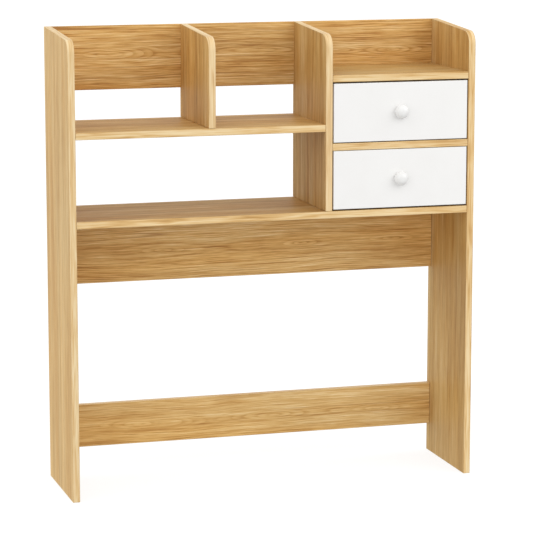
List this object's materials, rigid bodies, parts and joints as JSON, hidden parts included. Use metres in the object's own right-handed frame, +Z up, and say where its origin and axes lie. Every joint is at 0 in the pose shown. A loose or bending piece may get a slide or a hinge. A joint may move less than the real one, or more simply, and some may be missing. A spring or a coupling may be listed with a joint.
{
  "type": "desk hutch",
  "caption": "Tall open desk hutch on two side panels, with book bays across the top, a small bank of pull-out drawers at the right, and open space below for a desk.",
  "frame": {"origin": "on the floor, at the middle of the outline in width and depth, drawer knobs included", "axes": "+X to the right seen from the front, +Y to the back, +Z up; the drawers open towards -Y"},
  "size_m": [0.88, 0.2528, 0.972],
  "materials": {
    "oak_board": "light oak decor with straight and arched grain, satin, lighter edge band",
    "oak_thin_board": "light oak decor, horizontal grain, satin",
    "drawer_front_white": "white laminated board, satin",
    "knob_white": "smooth white, half gloss",
    "drawer_box_wood": "plain pale wood, matt",
    "runner_wood": "plain hardwood strip, waxed",
    "drawer_bottom_hardboard": "thin brown hardboard, matt",
    "zinc_cam": "die-cast zinc, dull",
    "steel_screw": "zinc-plated steel"
  },
  "bodies": {
    "carcass": {"left_side_panel": "oak_board", "right_side_panel": "oak_board", "tall_divider": "oak_board", "short_divider": "oak_board", "lower_shelf": "oak_board", "upper_shelf": "oak_board", "drawer_top_shelf": "oak_board", "drawer_divider_shelf": "oak_board", "apron_board": "oak_board", "bottom_stretcher": "oak_board", "back_board": "oak_thin_board", "drawer_back_panel": "oak_thin_board", "lower_shelf_left_front_cam": "zinc_cam", "lower_shelf_left_rear_cam": "zinc_cam", "lower_shelf_right_front_cam": "zinc_cam", "lower_shelf_right_rear_cam": "zinc_cam", "apron_left_cam": "zinc_cam", "apron_right_cam": "zinc_cam", "stretcher_left_cam": "zinc_cam", "stretcher_right_cam": "zinc_cam", "lower_shelf_left_front_bolt": "steel_screw", "lower_shelf_left_rear_bolt": "steel_screw", "lower_shelf_right_front_bolt": "steel_screw", "lower_shelf_right_rear_bolt": "steel_screw", "apron_left_bolt": "steel_screw", "apron_right_bolt": "steel_screw", "stretcher_left_bolt": "steel_screw", "stretcher_right_bolt": "steel_screw", "back_screw_left_end": "steel_screw", "back_screw_short_divider": "steel_screw", "back_screw_tall_divider": "steel_screw", "back_screw_right_end": "steel_screw", "upper_drawer_left_runner": "runner_wood", "upper_drawer_right_runner": "runner_wood", "lower_drawer_left_runner": "runner_wood", "lower_drawer_right_runner": "runner_wood", "upper_drawer_left_runner_screw_front": "steel_screw", "upper_drawer_left_runner_screw_rear": "steel_screw", "upper_drawer_right_runner_screw_front": "steel_screw", "upper_drawer_right_runner_screw_rear": "steel_screw", "lower_drawer_left_runner_screw_front": "steel_screw", "lower_drawer_left_runner_screw_rear": "steel_screw", "lower_drawer_right_runner_screw_front": "steel_screw", "lower_drawer_right_runner_screw_rear": "steel_screw"},
    "upper_drawer": {"upper_drawer_front": "drawer_front_white", "upper_drawer_left_side": "drawer_box_wood", "upper_drawer_right_side": "drawer_box_wood", "upper_drawer_back": "drawer_box_wood", "upper_drawer_bottom": "drawer_bottom_hardboard", "upper_drawer_knob": "knob_white", "upper_drawer_knob_screw": "steel_screw"},
    "lower_drawer": {"lower_drawer_front": "drawer_front_white", "lower_drawer_left_side": "drawer_box_wood", "lower_drawer_right_side": "drawer_box_wood", "lower_drawer_back": "drawer_box_wood", "lower_drawer_bottom": "drawer_bottom_hardboard", "lower_drawer_knob": "knob_white", "lower_drawer_knob_screw": "steel_screw"}
  },
  "joints": [
    {"name": "upper_drawer_slide", "type": "slide", "parent": "carcass", "child": "upper_drawer", "axis": [0, -1, 0], "range_m": [0, 0.16]},
    {"name": "lower_drawer_slide", "type": "slide", "parent": "carcass", "child": "lower_drawer", "axis": [0, -1, 0], "range_m": [0, 0.16]}
  ]
}
